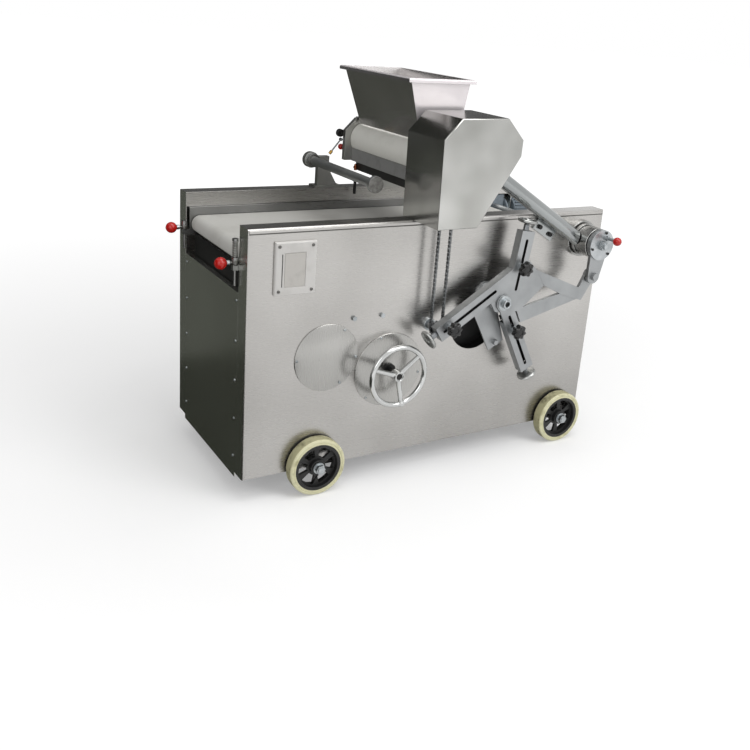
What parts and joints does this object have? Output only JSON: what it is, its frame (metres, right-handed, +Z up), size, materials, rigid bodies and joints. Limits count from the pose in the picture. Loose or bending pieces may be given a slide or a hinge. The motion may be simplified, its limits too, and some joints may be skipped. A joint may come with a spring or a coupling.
{
  "type": "cookie depositor",
  "caption": "Cookie depositor on wheels: belt conveyor in a steel cabinet, roller head with hopper and nozzles, slotted rocker swung by an eccentric rod.",
  "frame": {"origin": "on the floor under the middle of the machine's overall box", "axes": "+X along the belt from infeed to outfeed, +Y from the front panel to the rear one, +Z up"},
  "size_m": [1.416, 0.7792, 1.216],
  "materials": {
    "stainless": "satin",
    "end_steel": "satin",
    "frame_grey": "matte",
    "zinc": "zinc plated",
    "plate_white": "matte",
    "dark_casting": "satin",
    "nozzle_black": "matte",
    "chain_steel": "oiled",
    "motor_blue": "satin",
    "tyre_cream": "matte",
    "core_black": "painted",
    "table_steel": "satin",
    "belt_white": "matte",
    "lever_red": "glossy",
    "chrome": "polished",
    "shaft_black": "blackened",
    "nylon_white": "satin",
    "linkage_grey": "satin",
    "block_steel": "plain",
    "knob_black": "satin"
  },
  "bodies": {
    "machine": {"front_panel": "stainless", "rear_panel": "stainless", "infeed_end_panel": "end_steel", "outfeed_end_panel": "end_steel", "base_frame": "frame_grey", "wheel_axles": "zinc", "inspection_cover": "stainless", "handwheel_backplate": "stainless", "name_plate": "plate_white", "panel_screws": "zinc", "near_head_plate": "stainless", "far_head_plate": "stainless", "hopper": "stainless", "manifold": "dark_casting", "nozzles": "nozzle_black", "gear_cover": "stainless", "gear_motor": "motor_blue", "panel_studs": "zinc", "shaft_housing": "dark_casting", "brace_tube": "zinc", "bar_post": "zinc", "cross_bar": "dark_casting", "chain": "chain_steel"},
    "table": {"conveyor_table": "table_steel", "belt": "belt_white", "lever_spring": "zinc"},
    "nose_roll": {"nose_roller": "table_steel"},
    "drive_roll": {"drive_roller": "table_steel"},
    "front_handle": {"front_lever": "lever_red"},
    "rear_handle": {"rear_lever": "lever_red"},
    "lift_wheel": {"handwheel": "chrome", "lift_shaft": "shaft_black"},
    "feed_left": {"feed_roller_left": "nylon_white", "feed_gear_left": "chain_steel"},
    "feed_right": {"feed_roller_right": "nylon_white", "feed_gear_right": "chain_steel"},
    "sprocket": {"lower_sprocket": "chain_steel"},
    "drive": {"main_shaft": "zinc", "face_disc": "stainless"},
    "plunger": {"index_plunger": "lever_red"},
    "rocker": {"rocker_plate": "linkage_grey", "lower_arm": "linkage_grey"},
    "rod": {"eccentric_rod": "linkage_grey"},
    "wheel_front_in": {"tyre_front_in": "tyre_cream", "core_front_in": "core_black"},
    "wheel_front_out": {"tyre_front_out": "tyre_cream", "core_front_out": "core_black"},
    "wheel_rear_in": {"tyre_rear_in": "tyre_cream", "core_rear_in": "core_black"},
    "wheel_rear_out": {"tyre_rear_out": "tyre_cream", "core_rear_out": "core_black"},
    "up_screw_body": {"up_screw": "chrome"},
    "up_block_body": {"up_block": "block_steel"},
    "up_knob_body": {"up_knob": "knob_black"},
    "left_screw_body": {"left_screw": "chrome"},
    "left_block_body": {"left_block": "block_steel"},
    "left_knob_body": {"left_knob": "knob_black"},
    "low_screw_body": {"low_screw": "chrome"},
    "low_block_body": {"low_block": "block_steel"},
    "low_knob_body": {"low_knob": "knob_black"}
  },
  "joints": [
    {"name": "wheel_front_in_spin", "type": "hinge", "parent": "machine", "child": "wheel_front_in", "pos_m": [-0.416, -0.24465, 0.09], "axis": [0, 1, 0], "continuous": true},
    {"name": "wheel_front_out_spin", "type": "hinge", "parent": "machine", "child": "wheel_front_out", "pos_m": [0.523, -0.24465, 0.09], "axis": [0, 1, 0], "continuous": true},
    {"name": "wheel_rear_in_spin", "type": "hinge", "parent": "machine", "child": "wheel_rear_in", "pos_m": [-0.416, 0.34935, 0.09], "axis": [0, 1, 0], "continuous": true},
    {"name": "wheel_rear_out_spin", "type": "hinge", "parent": "machine", "child": "wheel_rear_out", "pos_m": [0.523, 0.34935, 0.09], "axis": [0, 1, 0], "continuous": true},
    {"name": "table_lift", "type": "slide", "parent": "machine", "child": "table", "axis": [0, 0, 1], "range_m": [-0.02, 0.04]},
    {"name": "lift_turn", "type": "hinge", "parent": "machine", "child": "lift_wheel", "pos_m": [-0.174, -0.28465, 0.356], "axis": [0, 1, 0], "range_deg": [-160, 80]},
    {"name": "drive_roll_spin", "type": "hinge", "parent": "table", "child": "drive_roll", "pos_m": [0.4582, 0.05235, 0.7202], "axis": [0, 1, 0], "continuous": true},
    {"name": "nose_roll_spin", "type": "hinge", "parent": "table", "child": "nose_roll", "pos_m": [-0.6022, 0.05235, 0.7202], "axis": [0, 1, 0], "continuous": true},
    {"name": "front_lever_swing", "type": "hinge", "parent": "table", "child": "front_handle", "pos_m": [-0.65, -0.15665, 0.7112], "axis": [0, 0, 1], "range_deg": [-60, 60]},
    {"name": "rear_lever_swing", "type": "hinge", "parent": "table", "child": "rear_handle", "pos_m": [-0.65, 0.26135, 0.7112], "axis": [0, 0, 1], "range_deg": [-60, 60]},
    {"name": "feed_left_spin", "type": "hinge", "parent": "machine", "child": "feed_left", "pos_m": [-0.04, 0.05235, 0.983], "axis": [0, 1, 0], "continuous": true},
    {"name": "feed_right_spin", "type": "hinge", "parent": "machine", "child": "feed_right", "pos_m": [0.06525, 0.05235, 1.02131], "axis": [0, 1, 0], "continuous": true},
    {"name": "sprocket_spin", "type": "hinge", "parent": "machine", "child": "sprocket", "pos_m": [-0.04, -0.26465, 0.4877], "axis": [0, 1, 0], "continuous": true},
    {"name": "shaft_spin", "type": "hinge", "parent": "machine", "child": "drive", "pos_m": [0.538, -0.22265, 0.726], "axis": [0, 1, 0], "continuous": true},
    {"name": "plunger_pull", "type": "slide", "parent": "drive", "child": "plunger", "axis": [0, -1, 0], "range_m": [0, 0.012], "stiffness_N_per_m": 400, "springref_m": -0.005},
    {"name": "rocker_swing", "type": "hinge", "parent": "machine", "child": "rocker", "pos_m": [0.176, -0.28265, 0.56], "axis": [0, 1, 0], "range_deg": [-1.64, 1.64]},
    {"name": "rod_swing", "type": "hinge", "parent": "rocker", "child": "rod", "pos_m": [0.526, -0.31665, 0.621], "axis": [0, 1, 0], "range_deg": [-1.74, 1.74]},
    {"name": "up_screw_turn", "type": "hinge", "parent": "rocker", "child": "up_screw_body", "pos_m": [0.22977, -0.28865, 0.67133], "axis": [0.1357, 0, 0.9907], "range_deg": [-9000, 4800]},
    {"name": "up_block_slide", "type": "slide", "parent": "rocker", "child": "up_block_body", "axis": [0.1357, 0, 0.9907], "range_m": [-0.0405, 0.0755]},
    {"name": "up_knob_turn", "type": "hinge", "parent": "up_block_body", "child": "up_knob_body", "pos_m": [0.22977, -0.32665, 0.67133], "axis": [0, 1, 0], "range_deg": [-180, 180]},
    {"name": "left_screw_turn", "type": "hinge", "parent": "rocker", "child": "left_screw_body", "pos_m": [-0.01808, -0.28865, 0.50099], "axis": [-0.8499, 0, -0.527], "range_deg": [-1440, 18000]},
    {"name": "left_block_slide", "type": "slide", "parent": "rocker", "child": "left_block_body", "axis": [-0.8499, 0, -0.527], "range_m": [-0.1505, 0.0125]},
    {"name": "left_knob_turn", "type": "hinge", "parent": "left_block_body", "child": "left_knob_body", "pos_m": [-0.01808, -0.32665, 0.50099], "axis": [0, 1, 0], "range_deg": [-180, 180]},
    {"name": "low_screw_turn", "type": "hinge", "parent": "rocker", "child": "low_screw_body", "pos_m": [0.22632, -0.29465, 0.46777], "axis": [0.4664, 0, -0.8846], "range_deg": [-14400, 3600]},
    {"name": "low_block_slide", "type": "slide", "parent": "rocker", "child": "low_block_body", "axis": [0.4664, 0, -0.8846], "range_m": [-0.0305, 0.1205]},
    {"name": "low_knob_turn", "type": "hinge", "parent": "low_block_body", "child": "low_knob_body", "pos_m": [0.22632, -0.33265, 0.46777], "axis": [0, 1, 0], "range_deg": [-180, 180]}
  ],
  "couplings": [
    {"joint": "lift_turn", "follows": "table_lift", "rad_per_m": -66.667},
    {"joint": "nose_roll_spin", "follows": "drive_roll_spin", "ratio": 1},
    {"joint": "feed_right_spin", "follows": "feed_left_spin", "ratio": -1},
    {"joint": "sprocket_spin", "follows": "feed_left_spin", "ratio": 1},
    {"joint": "rod_swing", "follows": "rocker_swing", "ratio": -1},
    {"joint": "up_block_slide", "follows": "up_screw_turn", "m_per_rad": -0.00047746},
    {"joint": "left_block_slide", "follows": "left_screw_turn", "m_per_rad": -0.00047746},
    {"joint": "low_block_slide", "follows": "low_screw_turn", "m_per_rad": -0.00047746}
  ]
}
